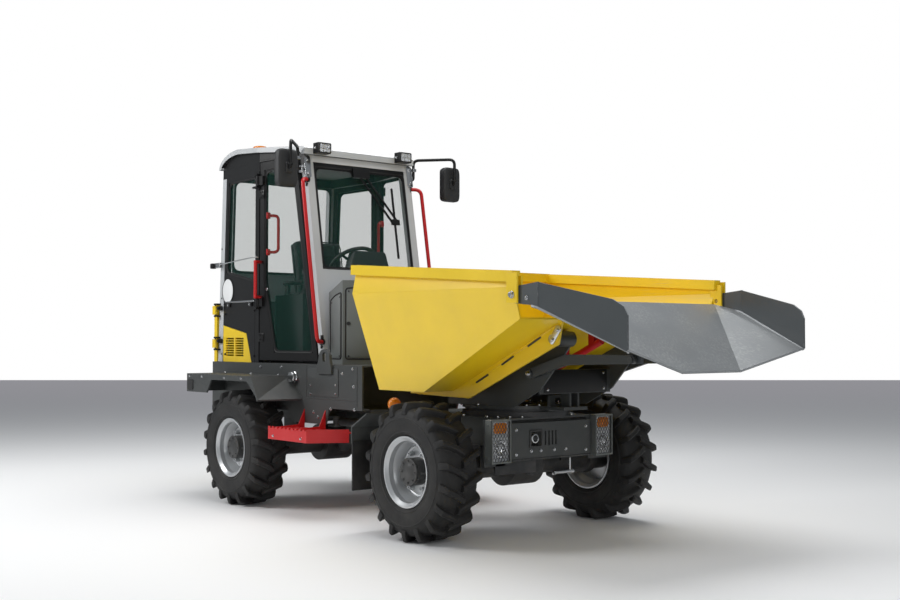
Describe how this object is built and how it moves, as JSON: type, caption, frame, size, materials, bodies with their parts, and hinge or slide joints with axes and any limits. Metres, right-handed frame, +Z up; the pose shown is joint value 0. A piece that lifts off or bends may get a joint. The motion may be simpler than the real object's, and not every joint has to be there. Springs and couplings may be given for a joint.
{
  "type": "site_dumper",
  "caption": "Articulated wheeled site dumper with a glazed cab, a turntable tipping skip and a folding pouring chute in front",
  "frame": {"origin": "on the ground under the middle of the whole length and width", "axes": "+X forward to the chute, +Y to the left of the driver, +Z up"},
  "size_m": [4.81, 1.84, 2.778],
  "materials": {
    "frame_grey": "satin",
    "cab_grey": "satin",
    "black_panel": "satin",
    "yellow_paint": "gloss",
    "red_paint": "satin",
    "chute_grey": "satin",
    "housing_grey": "satin",
    "dark_iron": "satin",
    "bright_steel": "satin",
    "rim_silver": "satin",
    "cab_glass": "gloss",
    "tyre_rubber": "matte",
    "flap_rubber": "matte",
    "cab_plastic": "matte",
    "seat_cloth": "matte",
    "lamp_clear": "gloss",
    "lamp_amber": "gloss",
    "lamp_red": "gloss"
  },
  "bodies": {
    "rear_frame": {"rear_chassis": "frame_grey", "rear_axle": "dark_iron", "engine_block": "dark_iron", "rear_fenders": "frame_grey", "engine_side_covers": "black_panel", "side_grilles": "yellow_paint", "cab_frame": "cab_grey", "cab_side_panels": "black_panel", "cab_roof": "cab_grey", "windscreen": "cab_glass", "cab_windows": "cab_glass", "cab_interior": "cab_plastic", "seat": "seat_cloth", "steering_wheel": "cab_plastic", "front_housing": "housing_grey", "work_lights": "black_panel", "beacon": "lamp_amber", "mirrors": "cab_plastic", "handrails": "red_paint", "wiper": "black_panel", "steps": "red_paint", "lifting_eyes": "frame_grey", "tail_lamps": "lamp_red", "tow_hitch": "dark_iron"},
    "right_door": {"door_right": "black_panel", "door_glass_right": "cab_glass"},
    "left_door": {"door_left": "black_panel", "door_glass_left": "cab_glass"},
    "hood": {"rear_hood": "yellow_paint"},
    "front_frame": {"front_chassis": "frame_grey", "front_axle": "dark_iron", "headlamps": "lamp_clear", "lamp_guards": "black_panel", "mudguards": "frame_grey", "mud_flaps": "flap_rubber", "marker_lamps": "lamp_amber", "slew_ring": "dark_iron"},
    "console": {"swivel_console": "frame_grey"},
    "tip_cylinder": {"tip_barrel": "dark_iron"},
    "tip_ram": {"tip_rod": "bright_steel"},
    "skip_body": {"skip": "yellow_paint", "skip_pins": "bright_steel", "safety_prop": "red_paint"},
    "chute_body": {"chute": "chute_grey"},
    "link_pair": {"chute_links": "frame_grey"},
    "steer_cylinder": {"steer_barrel": "dark_iron"},
    "steer_ram": {"steer_rod": "bright_steel"},
    "wheel_fr": {"tyre_front_right": "tyre_rubber", "wheel_front_right": "rim_silver"},
    "wheel_fl": {"tyre_front_left": "tyre_rubber", "wheel_front_left": "rim_silver"},
    "wheel_rr": {"tyre_rear_right": "tyre_rubber", "wheel_rear_right": "rim_silver"},
    "wheel_rl": {"tyre_rear_left": "tyre_rubber", "wheel_rear_left": "rim_silver"}
  },
  "joints": [
    {"name": "steer", "type": "hinge", "parent": "rear_frame", "child": "front_frame", "pos_m": [-0.31, 0, 0.58], "axis": [0, 0, 1], "range_deg": [-35, 35]},
    {"name": "swivel", "type": "hinge", "parent": "front_frame", "child": "console", "pos_m": [0.74, 0, 0.79], "axis": [0, 0, 1], "range_deg": [-90, 90]},
    {"name": "tip", "type": "hinge", "parent": "console", "child": "skip_body", "pos_m": [1.55, 0, 1.22], "axis": [0, 1, 0], "range_deg": [0, 60]},
    {"name": "chute_fold", "type": "hinge", "parent": "skip_body", "child": "chute_body", "pos_m": [1.69, 0, 1.46], "axis": [0, 1, 0], "range_deg": [-36.1, 0.5]},
    {"name": "link_swing", "type": "hinge", "parent": "console", "child": "link_pair", "pos_m": [1.251, 0, 1.015], "axis": [0, 1, 0], "range_deg": [-0.5, 26.4]},
    {"name": "tip_cylinder_swing", "type": "hinge", "parent": "console", "child": "tip_cylinder", "pos_m": [1.23, 0, 0.93], "axis": [0, 1, 0], "range_deg": [-0.5, 70.75]},
    {"name": "tip_ram_stroke", "type": "slide", "parent": "tip_cylinder", "child": "tip_ram", "axis": [-0.9921, 0, -0.1258], "range_m": [-0.002, 0.4096]},
    {"name": "steer_cylinder_swing", "type": "hinge", "parent": "rear_frame", "child": "steer_cylinder", "pos_m": [-0.83, -0.33, 0.62], "axis": [0, 0, 1], "range_deg": [-9.74, 9.74]},
    {"name": "steer_ram_stroke", "type": "slide", "parent": "steer_cylinder", "child": "steer_ram", "axis": [0.9992, 0.04, 0], "range_m": [-0.1861, 0.1861]},
    {"name": "door_right_swing", "type": "hinge", "parent": "rear_frame", "child": "right_door", "pos_m": [-1.54794, -0.58788, 1.8], "axis": [0, 0, -1], "range_deg": [0, 95]},
    {"name": "door_left_swing", "type": "hinge", "parent": "rear_frame", "child": "left_door", "pos_m": [-1.54794, 0.58788, 1.8], "axis": [0, 0, 1], "range_deg": [0, 95]},
    {"name": "hood_swing", "type": "hinge", "parent": "rear_frame", "child": "hood", "pos_m": [-2.268, -0.556, 1.3], "axis": [0, 0, 1], "range_deg": [0, 90]},
    {"name": "roll_fr", "type": "hinge", "parent": "front_frame", "child": "wheel_fr", "pos_m": [0.74, -0.767, 0.4225], "axis": [0, 1, 0], "continuous": true},
    {"name": "roll_fl", "type": "hinge", "parent": "front_frame", "child": "wheel_fl", "pos_m": [0.74, 0.767, 0.4225], "axis": [0, 1, 0], "continuous": true},
    {"name": "roll_rr", "type": "hinge", "parent": "rear_frame", "child": "wheel_rr", "pos_m": [-1.4, -0.767, 0.4225], "axis": [0, 1, 0], "continuous": true},
    {"name": "roll_rl", "type": "hinge", "parent": "rear_frame", "child": "wheel_rl", "pos_m": [-1.4, 0.767, 0.4225], "axis": [0, 1, 0], "continuous": true}
  ],
  "couplings": [
    {"joint": "chute_fold", "follows": "tip", "ratio": -0.59333},
    {"joint": "link_swing", "follows": "tip", "ratio": 0.43159},
    {"joint": "tip_cylinder_swing", "follows": "tip", "ratio": 1.1708},
    {"joint": "tip_ram_stroke", "follows": "tip", "m_per_rad": 0.38927},
    {"joint": "steer_cylinder_swing", "follows": "steer", "ratio": 0.26962},
    {"joint": "steer_ram_stroke", "follows": "steer", "m_per_rad": 0.30136}
  ]
}
